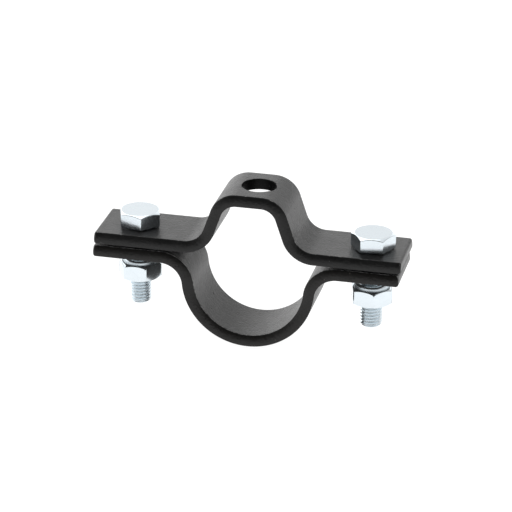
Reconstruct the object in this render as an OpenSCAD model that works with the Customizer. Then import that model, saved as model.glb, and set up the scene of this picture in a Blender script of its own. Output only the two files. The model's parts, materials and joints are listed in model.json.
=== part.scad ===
// Two-part pipe and hose clamp: a half-round saddle and a hat-shaped band, both bent from flat strip
// and drawn together by two M10 bolts with nylon-insert lock nuts.
// X runs from bolt to bolt, Y along the pipe and Z up. The origin is the centre of the pipe.

/* [Strip] */
// Width of the strip, along the pipe
strip_width = 30; // [26:1:34]
// Thickness of the strip
strip_thickness = 5; // [4:0.5:6]
// Distance from the pipe's axis to each bolt
bolt_offset = 52; // [50:0.5:54]
// Length of the upper band to the left of the pipe's axis
upper_left_reach = 69; // [66:0.5:72]
// Length of the upper band to the right of the pipe's axis
upper_right_reach = 66.8; // [65:0.1:72]
// Length of the lower band to the left of the pipe's axis
lower_left_reach = 69.5; // [66:0.5:72]
// Length of the lower band to the right of the pipe's axis
lower_right_reach = 66; // [65:0.5:72]
// Rounding of the sheared upper and lower edges at the band ends
end_rounding = 1.2; // [0.5:0.1:2]
// Diameter of the bolt holes in the flanges
bolt_hole = 11; // [10.5:0.5:12]
// Gap between the two flanges
flange_gap = 1.1; // [0.8:0.1:1.5]

/* [Saddle] */
// Radius of the pipe seat
seat_radius = 24.5; // [22:0.5:24.5]
// Height of the lower flange's upper face above the pipe's axis
saddle_top = 11; // [11:0.1:12]
// Radius under the bend between the seat and its flange
saddle_bend = 10; // [7:0.5:10]

/* [Hat] */
// Height of the hat's inner face above the pipe's axis
hat_height = 35.7; // [34:0.1:38]
// Distance between the legs' inner faces, where their lines meet the flange's underside
hat_foot = 37; // [37:0.1:39]
// Slope of the legs from the flange
leg_angle = 71; // [69:1:73]
// Radius inside the two upper bends
hat_bend = 7; // [6:0.5:7.5]
// Radius above the bends between the legs and the flanges
foot_bend = 9.2; // [9.2:0.1:10]
// Diameter of the hanger hole
hanger_hole = 15; // [10:0.5:16]
// Distance of the hanger hole to the right of the pipe's axis
hanger_offset = 1.4; // [0:0.1:1.5]

/* [Bolts and nuts] */
// Length of the bolts under the head
bolt_length = 36.5; // [34:0.5:40]
// Width across the flats of heads and nuts
across_flats = 17; // [16:0.5:17]
// Height of the head with its washer face
head_height = 7; // [6:0.1:7.5]
// Drop of the left nut's lower face below the pipe's axis
left_nut_drop = 7.4; // [7.4:0.1:9]
// Drop of the right nut's lower face below the pipe's axis
right_nut_drop = 8.3; // [7.4:0.1:9]

/* [Hidden] */
$fn = 96;

thread_radius = 4.95;        // outside of an M10 thread
nut_bore_radius = 5;         // runs on the thread with 0.05 all round
tip_chamfer = 1.2;
washer_face = 0.5;
chamfer_slope = 30;          // slope of the chamfers on heads and nuts
chamfer_circle = 0.95 * across_flats / 2;
hex_radius = across_flats / sqrt(3);
cut = 1;                     // how far a cutting shape runs past what it cuts
arc_steps = 10;              // flats along each bend
seat_stop = 8;               // the true seat ends this many degrees below the pipe's axis,
seat_run_out = 6;            // the flange's bend takes over this many degrees past the tangent point,
seat_ease = 0.05;            // and between them the strip stands this far clear of the pipe

nut_height = 9.4;
nut_hex_height = 7.4;        // the wrench flats with both chamfers
collar_radius = 7.4;
collar_rounding = 1.1;
insert_bottom = 7.1;
insert_height = 1.9;
insert_radius = 6.2;
insert_play = 0.05;          // between the nylon ring and its groove
lip_radius = 5.5;            // opening of the rolled lip above the nylon ring

left_head_turn = 47;         // each hexagon's own turn about its bolt
right_head_turn = 6;
left_nut_turn = 59;
right_nut_turn = 46;

flange_top = saddle_top + flange_gap + strip_thickness;

// The bend that joins the seat to its flange is tangent to both.
saddle_bend_z = saddle_top - strip_thickness - saddle_bend;
saddle_reach = seat_radius + strip_thickness + saddle_bend;
saddle_bend_x = sqrt(pow(saddle_reach, 2) - pow(saddle_bend_z, 2));
seat_end = atan2(saddle_bend_z, saddle_bend_x);

// The legs' inner lines meet the hat's inner face and the flange's underside at two corners.
hat_underside = saddle_top + flange_gap;
hat_rise = hat_height - hat_underside;
hat_flat = hat_foot / 2 - hat_rise / tan(leg_angle) - hat_bend * tan(leg_angle / 2);
foot_radius = foot_bend + strip_thickness;
foot_x = hat_foot / 2 + foot_radius * tan(leg_angle / 2);

// Points of an arc in the XZ plane, with angles measured up from +X.
function arc(centre, radius, from_angle, to_angle) =
    [for (step = [0:arc_steps])
        let (angle = from_angle + (to_angle - from_angle) * step / arc_steps)
        centre + radius * [cos(angle), sin(angle)]];

// Points down the sheared end of a flange whose underside is at bottom_z.
function flange_end(end_x, bottom_z) =
    concat(arc([end_x - end_rounding, bottom_z + strip_thickness - end_rounding], end_rounding, 90, 0),
           arc([end_x - end_rounding, bottom_z + end_rounding], end_rounding, 0, -90));

// Half of the hat's outline: along its outer face to the flange's end and back along its inner face.
function hat_outline(reach) =
    let (top_centre = [hat_flat, hat_height - hat_bend],
         foot_centre = [foot_x, hat_underside + foot_radius])
    concat([[0, hat_height + strip_thickness]],
           arc(top_centre, hat_bend + strip_thickness, 90, 90 - leg_angle),
           arc(foot_centre, foot_bend, 270 - leg_angle, 270),
           flange_end(reach, hat_underside),
           arc(foot_centre, foot_radius, 270, 270 - leg_angle),
           arc(top_centre, hat_bend, 90 - leg_angle, 90),
           [[0, hat_height]]);

// Points up the sheared end of the saddle's flange.
function flange_end_upwards(reach) =
    let (points = flange_end(reach, saddle_top - strip_thickness))
    [for (index = [len(points) - 1:-1:0]) points[index]];

// Half of the saddle's outline. The seat is left too thick here, and a cylinder cuts it true.
function saddle_outline(reach) =
    let (bend_centre = [saddle_bend_x, saddle_bend_z])
    concat([[0, -seat_radius - strip_thickness]],
           arc([0, 0], seat_radius + strip_thickness, -90, seat_end),
           arc(bend_centre, saddle_bend, 180 + seat_end, 90),
           flange_end_upwards(reach),
           arc(bend_centre, saddle_bend + strip_thickness, 90, 180 + seat_end - seat_run_out),
           [(seat_radius + seat_ease) * [cos(seat_stop), -sin(seat_stop)]],
           arc([0, 0], seat_radius - cut, -seat_stop, -90));

// Extrudes an outline drawn in X and Z across the width of the strip.
module across_strip() {
    translate([0, strip_width / 2, 0])
        rotate([90, 0, 0])
            linear_extrude(strip_width)
                children();
}

module bolt_holes() {
    for (side = [-1, 1])
        translate([side * bolt_offset, 0, 0])
            cylinder(h = 2 * flange_top, d = bolt_hole);
}

module upper_band() {
    color([0.13, 0.13, 0.14])
    difference() {
        union() {
            across_strip() polygon(hat_outline(upper_right_reach));
            mirror([1, 0, 0]) across_strip() polygon(hat_outline(upper_left_reach));
        }
        bolt_holes();
        translate([hanger_offset, 0, hat_height - hat_bend])
            cylinder(h = hat_bend + strip_thickness + cut, d = hanger_hole);
    }
}

module lower_band() {
    color([0.13, 0.13, 0.14])
    difference() {
        union() {
            across_strip() polygon(saddle_outline(lower_right_reach));
            mirror([1, 0, 0]) across_strip() polygon(saddle_outline(lower_left_reach));
        }
        bolt_holes();
        translate([0, strip_width / 2 + cut, 0])
            rotate([90, 0, 0])
                cylinder(h = strip_width + 2 * cut, r = seat_radius);
    }
}

// A hexagon whose corners are turned down to the chamfer circle at the top, and at the bottom if asked.
module chamfered_hexagon(height, both_ends) {
    slope_height = chamfer_circle * tan(chamfer_slope);
    intersection() {
        cylinder(h = height, r = hex_radius, $fn = 6);
        cylinder(h = height + slope_height, r1 = chamfer_circle + height / tan(chamfer_slope), r2 = 0);
        if (both_ends)
            translate([0, 0, -slope_height])
                cylinder(h = height + slope_height, r1 = 0, r2 = chamfer_circle + height / tan(chamfer_slope));
    }
}

// A bolt that points down from z = 0, the underside of its washer face.
module bolt(turn) {
    translate([0, 0, washer_face])
        rotate([0, 0, turn])
            chamfered_hexagon(head_height - washer_face, false);
    cylinder(h = washer_face, r = chamfer_circle);
    translate([0, 0, tip_chamfer - bolt_length])
        cylinder(h = bolt_length - tip_chamfer, r = thread_radius);
    translate([0, 0, -bolt_length])
        cylinder(h = tip_chamfer, r1 = thread_radius - tip_chamfer, r2 = thread_radius);
}

module placed_bolt(x, turn) {
    color([0.78, 0.8, 0.83])
    translate([x, 0, flange_top])
        bolt(turn);
}

module left_bolt() {
    placed_bolt(-bolt_offset, left_head_turn);
}

module right_bolt() {
    placed_bolt(bolt_offset, right_head_turn);
}

// A lock nut that stands on z = 0 with its collar upwards, bored through and grooved for the ring.
module lock_nut(turn) {
    crown = arc([collar_radius - collar_rounding, nut_height - collar_rounding], collar_rounding, 0, 90);
    difference() {
        union() {
            rotate([0, 0, turn])
                chamfered_hexagon(nut_hex_height, true);
            rotate_extrude()
                polygon(concat([[0, nut_hex_height / 2], [collar_radius, nut_hex_height / 2]],
                               crown, [[0, nut_height]]));
        }
        translate([0, 0, -cut])
            cylinder(h = nut_height, r = nut_bore_radius);
        translate([0, 0, insert_bottom - insert_play])
            cylinder(h = insert_height + 2 * insert_play, r = insert_radius + insert_play);
        translate([0, 0, insert_bottom])
            cylinder(h = nut_height, r = lip_radius);
    }
}

module placed_nut(x, drop, turn) {
    color([0.78, 0.8, 0.83])
    translate([x, 0, -drop])
        lock_nut(turn);
}

module left_lock_nut() {
    placed_nut(-bolt_offset, left_nut_drop, left_nut_turn);
}

module right_lock_nut() {
    placed_nut(bolt_offset, right_nut_drop, right_nut_turn);
}

module nylon_ring(x, drop) {
    color([0.93, 0.94, 0.92])
    translate([x, 0, insert_bottom - drop])
        difference() {
            cylinder(h = insert_height, r = insert_radius);
            translate([0, 0, -cut])
                cylinder(h = insert_height + 2 * cut, r = nut_bore_radius);
        }
}

module left_nylon_insert() {
    nylon_ring(-bolt_offset, left_nut_drop);
}

module right_nylon_insert() {
    nylon_ring(bolt_offset, right_nut_drop);
}

upper_band();
lower_band();
left_bolt();
right_bolt();
left_lock_nut();
right_lock_nut();
left_nylon_insert();
right_nylon_insert();
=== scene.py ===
import json
import math

import bmesh
import bpy
from mathutils import Matrix, Vector


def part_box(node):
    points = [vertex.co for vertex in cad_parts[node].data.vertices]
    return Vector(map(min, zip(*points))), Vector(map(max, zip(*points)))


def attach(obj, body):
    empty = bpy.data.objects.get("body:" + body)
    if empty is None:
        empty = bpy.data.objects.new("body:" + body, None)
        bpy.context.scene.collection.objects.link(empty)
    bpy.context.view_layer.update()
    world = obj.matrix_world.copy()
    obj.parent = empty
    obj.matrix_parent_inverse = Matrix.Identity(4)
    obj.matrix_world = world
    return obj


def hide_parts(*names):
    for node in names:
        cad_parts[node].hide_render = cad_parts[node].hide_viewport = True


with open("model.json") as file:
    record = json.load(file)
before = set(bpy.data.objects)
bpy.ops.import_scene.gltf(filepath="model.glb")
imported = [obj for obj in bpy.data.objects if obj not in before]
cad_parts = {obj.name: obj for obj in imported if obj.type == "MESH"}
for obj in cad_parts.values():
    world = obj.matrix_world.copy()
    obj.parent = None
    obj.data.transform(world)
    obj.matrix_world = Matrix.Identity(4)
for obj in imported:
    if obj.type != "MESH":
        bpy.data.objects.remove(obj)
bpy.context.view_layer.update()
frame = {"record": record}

MM = 0.001

# Sizes of the bent strip that the node boxes don't give, as in the part's source
STRIP_THICKNESS = 5 * MM
SEAT_RADIUS = 24.5 * MM
SADDLE_BEND = 10 * MM
HAT_BEND = 7 * MM
FOOT_BEND = 9.2 * MM
HAT_FOOT = 37 * MM
LEG_ANGLE = math.radians(71)
HANGER_RADIUS = 7.5 * MM
HANGER_OFFSET = 1.4 * MM
BOLT_HOLE_RADIUS = 5.5 * MM
END_ROUNDING = 1.2 * MM
EDGE_RADIUS = 7.5 * MM       # bulge of the strip's sheared sides
EDGE_LEVEL = 1.0 * MM        # height at which that bulge stands out furthest
EDGE_CORNER = 0.3 * MM       # rounding where the bulge meets the strip's faces
WORN_HIGHLIGHT_FROM = 0.9 * MM         # the coat is lighter grey between these distances from the strip's sides: painted highlight along the rolled rim, and rubbed wear
WORN_HIGHLIGHT_TO = 1.7 * MM
ACROSS_STEPS = 16            # divisions across the strip's width
END_STEPS = 6                # divisions round its sheared ends
END_DRAW = 0.8               # how far the sides draw in at an end, as a share of its rounding
HOLE_EDGE = 0.3 * MM

# Bolts
ACROSS_FLATS = 17 * MM
HEX_RADIUS = ACROSS_FLATS / math.sqrt(3)
CHAMFER_CIRCLE = 0.95 * ACROSS_FLATS / 2
CHAMFER_SLOPE = math.tan(math.radians(30))
WASHER_FACE = 0.5 * MM
THREAD_RADIUS = 4.95 * MM
THREAD_PITCH = 1.5 * MM
THREAD_DEPTH = 0.92 * MM
THREAD_NECK = 0.8 * MM       # plain length between the head and the thread
TIP_CHAMFER = 1.2 * MM
LEFT_HEAD_TURN = math.radians(47)
RIGHT_HEAD_TURN = math.radians(6)

# Lock nuts
NUT_BORE = 5 * MM
NUT_HEX_HEIGHT = 7.4 * MM
COLLAR_RADIUS = 7.4 * MM
COLLAR_ROUNDING = 1.1 * MM
GROOVE_BOTTOM = 7.05 * MM
GROOVE_TOP = 9.05 * MM
GROOVE_RADIUS = 6.25 * MM
LIP_RADIUS = 5.5 * MM
LEFT_NUT_TURN = math.radians(59)
RIGHT_NUT_TURN = math.radians(46)

POINTS_PER_FLAT = 12
AROUND = 6 * POINTS_PER_FLAT
THREAD_STEPS = 16            # divisions along one pitch
NEAR = 0.01 * MM             # points this close count as being in the same place

# Stage
FLOOR_REACH = 6.0
FLOOR_CLEARANCE = 1.6 * MM   # the lower band drops 1.5 mm when it opens

upper_low, upper_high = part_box("upper_band")
lower_low, lower_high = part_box("lower_band")
HALF_WIDTH = upper_high.y
HAT_UNDERSIDE = upper_low.z
HAT_HEIGHT = upper_high.z - STRIP_THICKNESS
FLANGE_TOP = HAT_UNDERSIDE + STRIP_THICKNESS
SADDLE_TOP = lower_high.z


# Pieces

def add_piece(name, bm, material, node, edge_width):
    """Turns a bmesh into a piece that stands for a CAD node, rides on its body and has rounded edges."""
    mesh = bpy.data.meshes.new(name)
    bmesh.ops.recalc_face_normals(bm, faces=bm.faces)
    bm.to_mesh(mesh)
    bm.free()
    mesh.shade_smooth()
    mesh.materials.append(material)
    piece = bpy.data.objects.new(name, mesh)
    bpy.context.scene.collection.objects.link(piece)
    bodies = frame["record"]["behaviour"]["bodies"]
    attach(piece, next(body for body, nodes in bodies.items() if node in nodes))
    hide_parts(node)

    bevel = piece.modifiers.new("Rounded edges", "BEVEL")
    bevel.limit_method = "WEIGHT"
    bevel.width = edge_width
    bevel.segments = 3
    bevel.use_clamp_overlap = False
    normals = piece.modifiers.new("Flat faces stay flat", "WEIGHTED_NORMAL")
    normals.weight = 60
    return piece


def weigh_edges(bm, weight_at, least_angle):
    """Gives each edge that turns by more than least_angle the bevel weight for its middle point."""
    layer = bm.edges.layers.float.new("bevel_weight_edge")
    for edge in bm.edges:
        if len(edge.link_faces) == 2 and edge.calc_face_angle() > least_angle:
            edge[layer] = weight_at((edge.verts[0].co + edge.verts[1].co) / 2)


# Bands

def arc(centre, radius, start, end, steps):
    """Points (x, z) of an arc, with angles measured up from +X."""
    turns = [start + (end - start) * step / steps for step in range(steps + 1)]
    return [(centre[0] + radius * math.cos(turn), centre[1] + radius * math.sin(turn)) for turn in turns]


def hat_side(offset, reach):
    """Half of the hat's face, from its middle to the flange's end. The inner face has offset 0."""
    foot_radius = FOOT_BEND + STRIP_THICKNESS
    rise = HAT_HEIGHT - HAT_UNDERSIDE
    flat = HAT_FOOT / 2 - rise / math.tan(LEG_ANGLE) - HAT_BEND * math.tan(LEG_ANGLE / 2)
    foot_x = HAT_FOOT / 2 + foot_radius * math.tan(LEG_ANGLE / 2)
    quarter = math.pi / 2
    top = arc((flat, HAT_HEIGHT - HAT_BEND), HAT_BEND + offset, quarter, quarter - LEG_ANGLE, 20)
    foot = arc((foot_x, HAT_UNDERSIDE + foot_radius), foot_radius - offset,
               3 * quarter - LEG_ANGLE, 3 * quarter, 24)
    return top + foot + [(reach, HAT_UNDERSIDE + offset)]


def saddle_side(offset, reach):
    """Half of the saddle's face, from its lowest point to the flange's end. The seat has offset 0."""
    bend_z = SADDLE_TOP - STRIP_THICKNESS - SADDLE_BEND
    bend_x = math.sqrt((SEAT_RADIUS + STRIP_THICKNESS + SADDLE_BEND) ** 2 - bend_z ** 2)
    seat_end = math.atan2(bend_z, bend_x)
    seat = arc((0, 0), SEAT_RADIUS + offset, -math.pi / 2, seat_end, 44)
    bend = arc((bend_x, bend_z), SADDLE_BEND + STRIP_THICKNESS - offset, math.pi + seat_end, math.pi / 2, 24)
    return seat[1:-1] + bend + [(reach, SADDLE_TOP - offset)]


def edge_section():
    """Points (height, distance in from the side) down a sheared side, rolled over at its top corner."""
    points = []
    for corner_height, up in ((STRIP_THICKNESS - EDGE_CORNER, 1), (EDGE_CORNER, -1)):
        level = corner_height - EDGE_LEVEL
        across = math.sqrt((EDGE_RADIUS - EDGE_CORNER) ** 2 - level ** 2)
        bend = math.atan2(level, across)
        corner = arc((across, level), EDGE_CORNER, up * math.pi / 2, bend, 5)
        points.append((bend, corner))
    (top_bend, top), (bottom_bend, bottom) = points
    bulge = arc((0, 0), EDGE_RADIUS, top_bend, bottom_bend, 10)
    return [(EDGE_LEVEL + rise, EDGE_RADIUS - out) for out, rise in top + bulge[1:-1] + bottom[::-1]]


def section_loop(rolled_outside):
    """Points (height above the inner face, share of half the width, crown) round the strip's section."""
    side = edge_section()
    if not rolled_outside:
        side = [(STRIP_THICKNESS - height, crown) for height, crown in side][::-1]
    across = [2 * step / ACROSS_STEPS - 1 for step in range(1, ACROSS_STEPS)]
    front = [(height, -1, crown) for height, crown in side]
    back = [(height, 1, crown) for height, crown in side[::-1]]
    inner = [(0, share, side[-1][1]) for share in across]
    outer = [(STRIP_THICKNESS, -share, side[0][1]) for share in across]
    return front + inner + back + outer


def end_inset(distance, rounding):
    """How far a rounded end stands back at a distance from its tip."""
    if distance >= rounding:
        return 0
    return rounding - math.sqrt(rounding ** 2 - (rounding - distance) ** 2)


def strip_mesh(side, left_reach, right_reach, rolled_outside):
    """The bent strip, with rounded sheared ends and sides rolled over at the outer or the inner face."""
    def whole(offset):
        left = [(-x, z) for x, z in side(offset, left_reach)]
        return left[::-1] + side(offset, right_reach)

    quarter = math.pi / 2
    steps = [END_ROUNDING * (1 - math.cos(quarter * step / END_STEPS)) for step in range(END_STEPS + 1)]
    inner = whole(0)
    outer = whole(STRIP_THICKNESS)
    stations = [(a, b, 0, 0) for a, b in zip(inner[1:-1], outer[1:-1])]
    for end, neighbour, place in ((0, 1, 0), (-1, -2, len(stations))):
        toward = math.copysign(1, inner[neighbour][0] - inner[end][0])
        tips = []
        for distance in steps:
            inset = end_inset(distance, END_ROUNDING)
            tips.append(((inner[end][0] + toward * distance, inner[end][1]),
                         (outer[end][0] + toward * distance, outer[end][1]), inset, END_DRAW * inset))
        if end == 0:
            stations = tips + stations
        else:
            stations = stations + tips[::-1]

    section = section_loop(rolled_outside)
    bm = bmesh.new()
    loops = []
    for (ix, iz), (ox, oz), inset, side_inset in stations:
        loop = []
        for height, side_share, crown in section:
            share = inset / STRIP_THICKNESS + height / STRIP_THICKNESS * (1 - 2 * inset / STRIP_THICKNESS)
            y = side_share * (HALF_WIDTH - crown - side_inset)
            loop.append(bm.verts.new((ix + (ox - ix) * share, y, iz + (oz - iz) * share)))
        loops.append(loop)
    for low, high in zip(loops, loops[1:]):
        bridge(bm, low, high)
    bm.faces.new(loops[0])
    bm.faces.new(loops[-1])
    bmesh.ops.recalc_face_normals(bm, faces=bm.faces)
    return bm


def drill(bm, holes):
    """Cuts round vertical holes (x, radius, low, high) through a band."""
    cutters = bmesh.new()
    for x, radius, low, high in holes:
        turns = [2 * math.pi * step / AROUND for step in range(AROUND)]
        rings = [[cutters.verts.new((x + radius * math.cos(turn), radius * math.sin(turn), z))
                  for turn in turns] for z in (low, high)]
        bridge(cutters, *rings)
        cutters.faces.new(rings[0][::-1])
        cutters.faces.new(rings[1])
    objects = []
    for label, shape in (("band", bm), ("drill", cutters)):
        mesh = bpy.data.meshes.new(label)
        shape.to_mesh(mesh)
        shape.free()
        objects.append(bpy.data.objects.new(label, mesh))
        bpy.context.scene.collection.objects.link(objects[-1])
    band, cutter = objects
    hole = band.modifiers.new("holes", "BOOLEAN")
    hole.object = cutter
    drilled = bmesh.new()
    drilled.from_mesh(band.evaluated_get(bpy.context.evaluated_depsgraph_get()).data)
    for extra in objects:
        bpy.data.objects.remove(extra)
    return drilled


def add_band(name, side, rolled_outside, holes, material, shaded_wall_material, worn_highlight_material, node):
    """A bent and drilled strip. Its hole walls get a less reflective copy of the coat, painted shade in the
    holes, and its rolled corners a lighter grey coat, painted highlight along the rim and rubbed wear.
    """
    def weight_at(point):
        return max(abs((point.xy - Vector((x, 0))).length - radius) < 0.05 * MM for x, radius, _, _ in holes)

    low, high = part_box(node)
    bm = drill(strip_mesh(side, -low.x, high.x, rolled_outside), holes)
    weigh_edges(bm, weight_at, math.radians(50))
    bm.normal_update()
    for face in bm.faces:
        middle = face.calc_center_median()
        # Hole walls: a less reflective copy of the coat, painted shade in the holes.
        if abs(face.normal.z) < 0.05 and weight_at(middle) and abs(middle.y) < HALF_WIDTH / 2:
            face.material_index = 1
        # Rolled corners: lighter grey coat, painted highlight along the rim and rubbed wear.
        elif WORN_HIGHLIGHT_FROM < HALF_WIDTH - abs(middle.y) < WORN_HIGHLIGHT_TO and 0.15 < abs(face.normal.y) < 0.83:
            face.material_index = 2
    piece = add_piece(name, bm, material, node, HOLE_EDGE)
    piece.data.materials.append(shaded_wall_material)
    piece.data.materials.append(worn_highlight_material)
    return piece


# Turned and hexagonal shapes

def bridge(bm, low, high):
    """Quads between two rings with the same number of points."""
    for i in range(len(low)):
        bm.faces.new((low[i - 1], low[i], high[i], high[i - 1]))


def hexagon(turn):
    """Points (angle, radius) round a hexagon, corners included."""
    apothem = ACROSS_FLATS / 2
    points = []
    for side in range(6):
        for step in range(POINTS_PER_FLAT):
            along = (2 * step / POINTS_PER_FLAT - 1) * HEX_RADIUS / 2
            angle = turn + side * math.pi / 3 + math.pi / 6 + math.atan2(along, apothem)
            points.append((angle, math.hypot(along, apothem)))
    return points


def vertex(bm, centre, radius, angle, z):
    """A new vertex at a radius, an angle and a height from centre."""
    return bm.verts.new(centre + Vector((radius * math.cos(angle), radius * math.sin(angle), z)))


def round_ring(bm, centre, radius, z, turn):
    """A round ring whose first point is at the hexagon's first corner."""
    return [vertex(bm, centre, radius, angle, z) for angle, _ in hexagon(turn)]


def hex_ring(bm, centre, z, down, turn):
    """A hexagonal ring turned down (down = 1) or up (down = -1) outside the chamfer circle."""
    ring = []
    for angle, radius in hexagon(turn):
        fall = (radius - CHAMFER_CIRCLE) * CHAMFER_SLOPE * down
        ring.append(vertex(bm, centre, radius, angle, z - fall))
    return ring


def rounded(radius, z, rounding, start, end, steps=5):
    """Points (radius, z) of a rounding about its own centre."""
    return arc((radius, z), rounding, start, end, steps)


def bridge_all(bm, rings, closed):
    """Quads from each ring to the next, and from the last to the first if closed."""
    for low, high in zip(rings, rings[1:]):
        bridge(bm, low, high)
    if closed:
        bridge(bm, rings[-1], rings[0])


def thread_radius(share):
    """Radius at a share of one pitch, from root to crest and back, with narrow flats on both."""
    crest = 0.1
    root = 0.12
    up = min(1, max(0, (1 - abs(2 * share - 1) - root) / (1 - crest - root)))
    eased = 0.85 * up + 0.15 * up * up * (3 - 2 * up)
    return THREAD_RADIUS - THREAD_DEPTH * (1 - eased)


def thread_rings(bm, centre, length, turn):
    """A right-hand thread, as rows of points that climb one pitch per turn."""
    bottom = -length
    top = -THREAD_NECK
    rows = math.ceil((top - bottom) / THREAD_PITCH * THREAD_STEPS)
    grid = []
    for row in range(-THREAD_STEPS, rows + 1):
        line = []
        for column in range(AROUND):
            raw = bottom + (row / THREAD_STEPS + column / AROUND) * THREAD_PITCH
            z = min(max(raw, bottom), top)
            radius = thread_radius(row / THREAD_STEPS % 1)
            radius = min(radius, THREAD_RADIUS - TIP_CHAMFER + (z - bottom))
            full = min(1, max(0, (top - z) / THREAD_PITCH))
            radius = full * radius + (1 - full) * (THREAD_RADIUS - 0.4 * THREAD_DEPTH)
            line.append(vertex(bm, centre, radius, turn + 2 * math.pi * column / AROUND, z))
        grid.append(line)
    for row in range(len(grid) - 1):
        for column in range(AROUND - 1):
            bm.faces.new((grid[row][column], grid[row][column + 1],
                          grid[row + 1][column + 1], grid[row + 1][column]))
        next_turn = row + THREAD_STEPS
        if next_turn + 1 < len(grid):
            bm.faces.new((grid[row][-1], grid[next_turn][0], grid[next_turn + 1][0], grid[row + 1][-1]))
    bmesh.ops.remove_doubles(bm, verts=bm.verts, dist=0.002 * MM)


def add_bolt(name, node, turn, material, shaded_top_material, root_shade_material):
    """Hexagon-head bolt with a washer face, a right-hand thread and a chamfered tip."""
    low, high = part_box(node)
    centre = Vector(((low.x + high.x) / 2, 0, FLANGE_TOP))
    height = high.z - FLANGE_TOP
    length = FLANGE_TOP - low.z
    bm = bmesh.new()
    thread_rings(bm, centre, length, turn)

    rings = [
        round_ring(bm, centre, THREAD_RADIUS, 0, turn),
        round_ring(bm, centre, CHAMFER_CIRCLE - 0.1 * MM, 0, turn),
        round_ring(bm, centre, CHAMFER_CIRCLE, 0.1 * MM, turn),
        round_ring(bm, centre, CHAMFER_CIRCLE, WASHER_FACE, turn),
        hex_ring(bm, centre, WASHER_FACE, 0, turn),
        hex_ring(bm, centre, height, 1, turn),
        round_ring(bm, centre, CHAMFER_CIRCLE, height, turn),
    ]
    bridge_all(bm, rings, False)
    bm.faces.new(rings[-1])
    close_shank(bm, centre, length, rings[0])

    def weight_at(point):
        return 1 if point.z > centre.z + WASHER_FACE / 2 else 0

    weigh_edges(bm, weight_at, math.radians(20))
    root = THREAD_RADIUS - 0.7 * THREAD_DEPTH
    for face in bm.faces:
        middle = face.calc_center_median() - centre
        # Head top: a darker copy of the zinc, painted shade that keeps the brightly lit top below white.
        if middle.z > height - NEAR:
            face.material_index = 1
        # Thread grooves: a slightly darker, rougher copy of the zinc, painted shade in the grooves.
        elif middle.z < 0 and middle.xy.length < root and middle.z > 2 * TIP_CHAMFER - length:
            face.material_index = 2
    piece = add_piece(name, bm, material, node, 0.22 * MM)
    piece.data.materials.append(shaded_top_material)
    piece.data.materials.append(root_shade_material)
    return piece


def close_shank(bm, centre, length, head_ring):
    """Joins the thread's top to the head's underside and closes its tip."""
    loose = [edge for edge in bm.edges if edge.is_boundary]
    tip = [edge for edge in loose if max(v.co.z for v in edge.verts) < centre.z - length + NEAR]
    head = [edge for edge in loose if edge not in tip]
    bmesh.ops.bridge_loops(bm, edges=head)
    bmesh.ops.contextual_create(bm, geom=tip)


def add_nut(name, node, turn, material, turned_material):
    """Lock nut with chamfered corners and a rolled collar. Collar and top chamfer look turned."""
    low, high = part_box(node)
    centre = Vector(((low.x + high.x) / 2, 0, low.z))
    height = high.z - low.z
    quarter = math.pi / 2
    countersink = 0.5 * MM
    fillet = 0.25 * MM
    bm = bmesh.new()

    def ring(radius, z):
        return round_ring(bm, centre, radius, z, turn)

    rings = [ring(NUT_BORE, GROOVE_BOTTOM), ring(NUT_BORE, countersink), ring(NUT_BORE + countersink, 0)]
    rings += [ring(CHAMFER_CIRCLE, 0), hex_ring(bm, centre, 0, -1, turn)]
    rings += [hex_ring(bm, centre, NUT_HEX_HEIGHT, 1, turn), ring(CHAMFER_CIRCLE, NUT_HEX_HEIGHT)]
    rings += [ring(r, z) for r, z in rounded(COLLAR_RADIUS + fillet, NUT_HEX_HEIGHT + fillet, fillet,
                                             3 * quarter, 2 * quarter, 4)]
    rings += [ring(r, z) for r, z in rounded(COLLAR_RADIUS - COLLAR_ROUNDING, height - COLLAR_ROUNDING,
                                             COLLAR_ROUNDING, 0, quarter, 10)]
    rings += [ring(LIP_RADIUS, height - 0.1 * MM), ring(LIP_RADIUS, GROOVE_TOP)]
    rings += [ring(GROOVE_RADIUS, GROOVE_TOP), ring(GROOVE_RADIUS, GROOVE_BOTTOM)]
    bridge_all(bm, rings, True)

    def weight_at(point):
        low_enough = point.z < centre.z + NUT_HEX_HEIGHT + NEAR
        return 1 if low_enough and (point - centre).xy.length > CHAMFER_CIRCLE - NEAR else 0

    weigh_edges(bm, weight_at, math.radians(20))
    turned_from = centre.z + NUT_HEX_HEIGHT - (HEX_RADIUS - CHAMFER_CIRCLE) * CHAMFER_SLOPE
    for face in bm.faces:
        middle = face.calc_center_median()
        on_collar = middle.z > centre.z + NUT_HEX_HEIGHT
        turned = middle.z > turned_from and (face.normal.z > 0.6 or on_collar)
        if turned and (middle - centre).xy.length > COLLAR_RADIUS - 0.05 * MM:
            face.material_index = 1
    piece = add_piece(name, bm, material, node, 0.2 * MM)
    piece.data.materials.append(turned_material)
    return piece


def add_nylon(name, node, material):
    """Nylon ring with softly rounded edges."""
    low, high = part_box(node)
    centre = Vector(((low.x + high.x) / 2, 0, low.z))
    height = high.z - low.z
    outside = (high.x - low.x) / 2
    rounding = 0.3 * MM
    corners = ((NUT_BORE + rounding, rounding, 2), (outside - rounding, rounding, 3),
               (outside - rounding, height - rounding, 0), (NUT_BORE + rounding, height - rounding, 1))
    bm = bmesh.new()
    rings = []
    for radius, z, first in corners:
        start = first * math.pi / 2
        rings += [round_ring(bm, centre, r, h, 0) for r, h in rounded(radius, z, rounding, start,
                                                                        start + math.pi / 2)]
    bridge_all(bm, rings, True)
    weigh_edges(bm, lambda point: 0, math.pi)
    return add_piece(name, bm, material, node, 0.1 * MM)


# Materials

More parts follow.
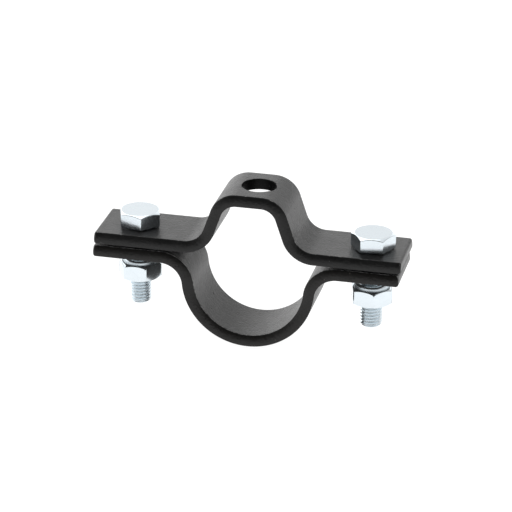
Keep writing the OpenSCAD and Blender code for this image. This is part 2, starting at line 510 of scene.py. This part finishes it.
class Nodes:
    """Short way to add and link the shader nodes of one material."""

    def __init__(self, name):
        self.material = bpy.data.materials.new(name)
        self.material.use_nodes = True
        self.tree = self.material.node_tree
        self.shader = self.tree.nodes["Principled BSDF"]
        self.place = self.add("ShaderNodeTexCoord").outputs["Object"]

    def add(self, kind, **settings):
        """A new node with some of its settings changed."""
        node = self.tree.nodes.new(kind)
        for key, value in settings.items():
            setattr(node, key, value)
        return node

    def put(self, socket, value):
        """Links a socket to a node's output, or sets it to a fixed value."""
        if isinstance(value, bpy.types.NodeSocket):
            self.tree.links.new(value, socket)
        else:
            socket.default_value = value

    def noise(self, size, detail=3, roughness=0.5, stretch=None):
        """Noise whose blotches are about size metres across."""
        node = self.add("ShaderNodeTexNoise")
        place = self.place
        if stretch:
            mapping = self.add("ShaderNodeMapping")
            self.put(mapping.inputs["Vector"], place)
            self.put(mapping.inputs["Scale"], stretch)
            place = mapping.outputs["Vector"]
        self.put(node.inputs["Vector"], place)
        self.put(node.inputs["Scale"], 1 / size)
        self.put(node.inputs["Detail"], detail)
        self.put(node.inputs["Roughness"], roughness)
        return node.outputs["Fac"]

    def spots(self, spacing):
        """Distance from scattered points that are about spacing metres apart, as a share of spacing."""
        node = self.add("ShaderNodeTexVoronoi")
        self.put(node.inputs["Vector"], self.place)
        self.put(node.inputs["Scale"], 1 / spacing)
        return node.outputs["Distance"]

    def scaled(self, value, low, high, to_low, to_high):
        """The value, with the range low to high mapped to to_low to to_high."""
        node = self.add("ShaderNodeMapRange")
        for socket, amount in zip(node.inputs[:5], (value, low, high, to_low, to_high)):
            self.put(socket, amount)
        return node.outputs["Result"]

    def maths(self, operation, a, b):
        """Result of a sum, difference or product of a and b."""
        node = self.add("ShaderNodeMath", operation=operation)
        self.put(node.inputs[0], a)
        self.put(node.inputs[1], b)
        return node.outputs[0]

    def blend(self, share, low, high):
        """Colour between low and high."""
        node = self.add("ShaderNodeMix", data_type="RGBA")
        self.put(node.inputs["Factor"], share)
        self.put(node.inputs["A"], low)
        self.put(node.inputs["B"], high)
        return node.outputs["Result"]

    def bump(self, height, depth):
        """Normal of a relief that is depth metres deep."""
        node = self.add("ShaderNodeBump")
        self.put(node.inputs["Strength"], 1)
        self.put(node.inputs["Distance"], depth)
        self.put(node.inputs["Height"], height)
        self.put(self.shader.inputs["Normal"], node.outputs["Normal"])


def grey(value, warmth=0.0):
    """A grey, with more red and less blue as warmth rises."""
    return (value * (1 + warmth), value, value * (1 - warmth), 1)


def black_coat(name, warmth, ior, sheen):
    """Thin satin black coat on rolled strip: fine orange peel, mottling, small pits and dust."""
    coat = Nodes(name)
    mottling = coat.noise(7 * MM, 4, 0.6)
    grain = coat.noise(0.9 * MM, 3, 0.6)
    pits = coat.scaled(coat.spots(8 * MM), 0.03, 0.07, 0, 1)
    dust = coat.scaled(coat.spots(5 * MM), 0.03, 0.07, 1, 0)
    colour = coat.blend(mottling, grey(0.004, warmth), grey(0.008, warmth))
    colour = coat.blend(dust, colour, grey(0.07, warmth))
    colour = coat.blend(coat.maths("SUBTRACT", 1, pits), colour, grey(0.001))
    shine = coat.scaled(mottling, 0.3, 0.7, 0.30, 0.38)
    shine = coat.maths("ADD", shine, coat.scaled(grain, 0.3, 0.7, -0.05, 0.06))
    relief = coat.maths("ADD", coat.maths("MULTIPLY", grain, 0.5), coat.maths("MULTIPLY", pits, 0.8))
    relief = coat.maths("ADD", relief, coat.maths("MULTIPLY", mottling, 0.4))
    coat.put(coat.shader.inputs["Base Color"], colour)
    coat.put(coat.shader.inputs["Roughness"], shine)
    coat.put(coat.shader.inputs["IOR"], ior)
    coat.put(coat.shader.inputs["Sheen Weight"], sheen)
    coat.put(coat.shader.inputs["Sheen Roughness"], 0.4)
    coat.bump(relief, 0.35 * MM)
    return coat.material


def worn_highlight_coat(name, least, most):
    """The coat on the strip's rolled corners, lighter grey as the noise goes from least to most: painted
    highlight along the rim, and rubbed wear.
    """
    coat = Nodes(name)
    wear_and_highlight = coat.scaled(coat.noise(1.1 * MM, 4, 0.7), least, most, 0, 1)
    coat.put(coat.shader.inputs["Base Color"], coat.blend(wear_and_highlight, grey(0.006), grey(0.3)))
    coat.put(coat.shader.inputs["Roughness"], coat.scaled(wear_and_highlight, 0, 1, 0.4, 0.55))
    coat.put(coat.shader.inputs["IOR"], 1.4)
    coat.bump(wear_and_highlight, 0.02 * MM)
    return coat.material


def zinc(name, tint, roughness, lightness):
    """Zinc plating: bluish, faintly clouded, with fine drawn marks and a soft sheen."""
    plate = Nodes(name)
    clouds = plate.noise(3 * MM, 4, 0.6)
    grain = plate.noise(0.35 * MM, 3, 0.6)
    marks = plate.noise(1.2 * MM, 3, 0.6, stretch=(1, 1, 4))
    low = [lightness * value for value in (0.71 * tint, 0.75, 0.79)]
    high = [lightness * value for value in (0.80 * tint, 0.84, 0.88)]
    colour = plate.blend(clouds, (*low, 1), (*high, 1))
    shine = plate.scaled(clouds, 0.3, 0.7, 0.8 * roughness, 1.2 * roughness)
    shine = plate.maths("ADD", shine, plate.scaled(grain, 0.3, 0.7, -0.03, 0.05))
    relief = plate.maths("ADD", plate.maths("MULTIPLY", grain, 0.4), marks)
    plate.put(plate.shader.inputs["Base Color"], colour)
    plate.put(plate.shader.inputs["Roughness"], shine)
    plate.put(plate.shader.inputs["Metallic"], 1)
    plate.bump(relief, 0.012 * MM)
    return plate.material


def nylon_plastic():
    """Milky white nylon with a soft, slightly uneven skin."""
    ring = Nodes("White_nylon")
    cloud = ring.noise(2 * MM)
    colour = ring.blend(cloud, (0.80, 0.81, 0.79, 1), (0.88, 0.89, 0.88, 1))
    ring.put(ring.shader.inputs["Base Color"], colour)
    ring.put(ring.shader.inputs["Roughness"], ring.scaled(cloud, 0.3, 0.7, 0.36, 0.48))
    ring.put(ring.shader.inputs["Subsurface Weight"], 0.15)
    ring.put(ring.shader.inputs["Subsurface Scale"], 0.6 * MM)
    ring.bump(ring.noise(0.5 * MM), 0.01 * MM)
    return ring.material


def floor_material():
    """Pale matte paper."""
    paper = Nodes("Pale_paper")
    fibres = paper.noise(4 * MM, 4, 0.6)
    paper.put(paper.shader.inputs["Base Color"], paper.blend(fibres, grey(0.16), grey(0.18)))
    paper.put(paper.shader.inputs["Emission Color"], (1, 1, 1, 1))
    paper.put(paper.shader.inputs["Emission Strength"], 0.98)
    paper.put(paper.shader.inputs["Roughness"], paper.scaled(fibres, 0.3, 0.7, 0.85, 0.95))
    paper.put(paper.shader.inputs["Specular IOR Level"], 0.2)
    return paper.material


# Stage

def add_floor():
    """Pale floor just under the lower band's lowest position."""
    height = lower_low.z - FLOOR_CLEARANCE
    mesh = bpy.data.meshes.new("Floor")
    corners = [(x * FLOOR_REACH, y * FLOOR_REACH, height) for x, y in ((-1, -1), (1, -1), (1, 1), (-1, 1))]
    mesh.from_pydata(corners, [], [(0, 1, 2, 3)])
    mesh.materials.append(floor_material())
    floor = bpy.data.objects.new("Floor", mesh)
    bpy.context.scene.collection.objects.link(floor)


def add_softbox(name, place, target, size, power):
    """A rectangular lamp at place that faces target."""
    light = bpy.data.lights.new(name, "AREA")
    light.shape = "RECTANGLE"
    light.size, light.size_y = size
    light.energy = power
    lamp = bpy.data.objects.new(name, light)
    lamp.location = place
    lamp.rotation_euler = (Vector(target) - Vector(place)).to_track_quat("-Z", "Y").to_euler()
    bpy.context.scene.collection.objects.link(lamp)


def ramp(tree, value, interpolation, limits):
    """The value, with the first two limits mapped to the last two."""
    node = tree.nodes.new("ShaderNodeMapRange")
    node.interpolation_type = interpolation
    for socket, limit in zip(node.inputs[1:5], limits):
        socket.default_value = limit
    tree.links.new(value, node.inputs[0])
    return node.outputs["Result"]


def combine(tree, operation, a, b):
    """Sum or product of two node outputs."""
    node = tree.nodes.new("ShaderNodeMath")
    node.operation = operation
    tree.links.new(a, node.inputs[0])
    tree.links.new(b, node.inputs[1])
    return node.outputs[0]


def add_light():
    """A white studio, dark in front, brightest behind and brighter at the left, with a soft top light."""
    world = bpy.data.worlds.new("Studio")
    world.use_nodes = True
    tree = world.node_tree
    split = tree.nodes.new("ShaderNodeSeparateXYZ")
    tree.links.new(tree.nodes.new("ShaderNodeTexCoord").outputs["Generated"], split.inputs[0])
    front = ramp(tree, split.outputs["Y"], "SMOOTHSTEP", (-0.7, -0.1, 0.02, 1.05))
    back = ramp(tree, split.outputs["Y"], "SMOOTHSTEP", (0.3, 0.85, 0, 0.4))
    sideways = ramp(tree, split.outputs["X"], "LINEAR", (-0.9, 0.9, 1.4, 0.5))
    strength = combine(tree, "MULTIPLY", combine(tree, "ADD", front, back), sideways)
    background = tree.nodes["Background"]
    tree.links.new(strength, background.inputs["Strength"])
    background.inputs["Color"].default_value = (1, 1, 1, 1)
    bpy.context.scene.world = world
    add_softbox("Top_softbox", (-0.2, 0.1, 0.9), (0, 0, 0), (0.9, 0.7), 2)
    bpy.context.scene.view_settings.view_transform = "Standard"


def add_camera():
    """Long lens from the front and a little to the right, looking down on the clamp."""
    azimuth = math.radians(12.84)
    elevation = math.radians(23.48)
    roll = math.radians(0.66)
    distance = 1.142
    target = Vector((0.32, 0, 7.31)) * MM
    back = Vector((math.sin(azimuth) * math.cos(elevation), -math.cos(azimuth) * math.cos(elevation),
                   math.sin(elevation)))
    level = Vector((math.cos(azimuth), math.sin(azimuth), 0))
    upright = back.cross(level)
    right = level * math.cos(roll) + upright * math.sin(roll)
    up = back.cross(right)
    lens = bpy.data.cameras.new("Camera")
    lens.sensor_width = 36
    lens.lens = 184.1
    lens.clip_start = 0.01
    lens.clip_end = 50
    camera = bpy.data.objects.new("Camera", lens)
    bpy.context.scene.collection.objects.link(camera)
    camera.matrix_world = Matrix((right, up, back)).transposed().to_4x4()
    camera.location = target + back * distance
    bpy.context.scene.camera = camera


left_low, left_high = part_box("left_bolt")
right_low, right_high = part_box("right_bolt")
left_x = (left_low.x + left_high.x) / 2
right_x = (right_low.x + right_high.x) / 2


def bolt_holes(low, high):
    """The two flange holes, as (x, radius, low, high)."""
    return [(left_x, BOLT_HOLE_RADIUS, low, high), (right_x, BOLT_HOLE_RADIUS, low, high)]


upper_holes = bolt_holes(0, 2 * FLANGE_TOP)
upper_holes.append((HANGER_OFFSET, HANGER_RADIUS, HAT_HEIGHT - HAT_BEND, HAT_HEIGHT + HAT_BEND))
lower_holes = bolt_holes(0, 2 * FLANGE_TOP)
# A less reflective copy of the black coat for the hole walls: painted shade in the holes.
shaded_hole_coat = black_coat("Black_hole_wall_painted_shade", 0.0, 1.2, 0)
upper_coat = black_coat("Black_coat_upper", 0.0, 1.40, 0.12)
# Lighter grey corner coats: painted highlight along the rolled rims, and rubbed wear.
upper_worn_highlight = worn_highlight_coat("Worn_highlight_edge_upper", 0.54, 0.66)
add_band("Upper_strip", hat_side, True, upper_holes, upper_coat, shaded_hole_coat, upper_worn_highlight, "upper_band")
lower_coat = black_coat("Black_coat_lower", 0.12, 1.40, 0.12)
lower_worn_highlight = worn_highlight_coat("Worn_highlight_edge_lower", 0.36, 0.6)
add_band("Lower_strip", saddle_side, False, lower_holes, lower_coat, shaded_hole_coat, lower_worn_highlight, "lower_band")
bolt_zinc = zinc("Zinc_bolt", 0.97, 0.2, 1.02)
# Darker copy of the zinc for the head tops: painted shade on the lit tops.
shaded_top_zinc = zinc("Zinc_head_top_painted_shade", 0.97, 0.3, 0.66)
# Slightly darker, rougher zinc for the thread grooves: painted shade in the grooves.
root_shade_zinc = zinc("Zinc_thread_root_shade", 0.95, 0.45, 1.0)
nut_zinc = zinc("Zinc_nut", 0.97, 0.12, 1.04)
turned_zinc = zinc("Zinc_turned_face", 0.96, 0.5, 1)
nylon = nylon_plastic()
add_bolt("Left_hexagon_bolt", "left_bolt", LEFT_HEAD_TURN, bolt_zinc, shaded_top_zinc, root_shade_zinc)
add_bolt("Right_hexagon_bolt", "right_bolt", RIGHT_HEAD_TURN, bolt_zinc, shaded_top_zinc, root_shade_zinc)
add_nut("Left_collar_nut", "left_lock_nut", LEFT_NUT_TURN, nut_zinc, turned_zinc)
add_nut("Right_collar_nut", "right_lock_nut", RIGHT_NUT_TURN, nut_zinc, turned_zinc)
add_nylon("Left_nylon_ring", "left_nylon_insert", nylon)
add_nylon("Right_nylon_ring", "right_nylon_insert", nylon)
add_floor()
add_light()
add_camera()
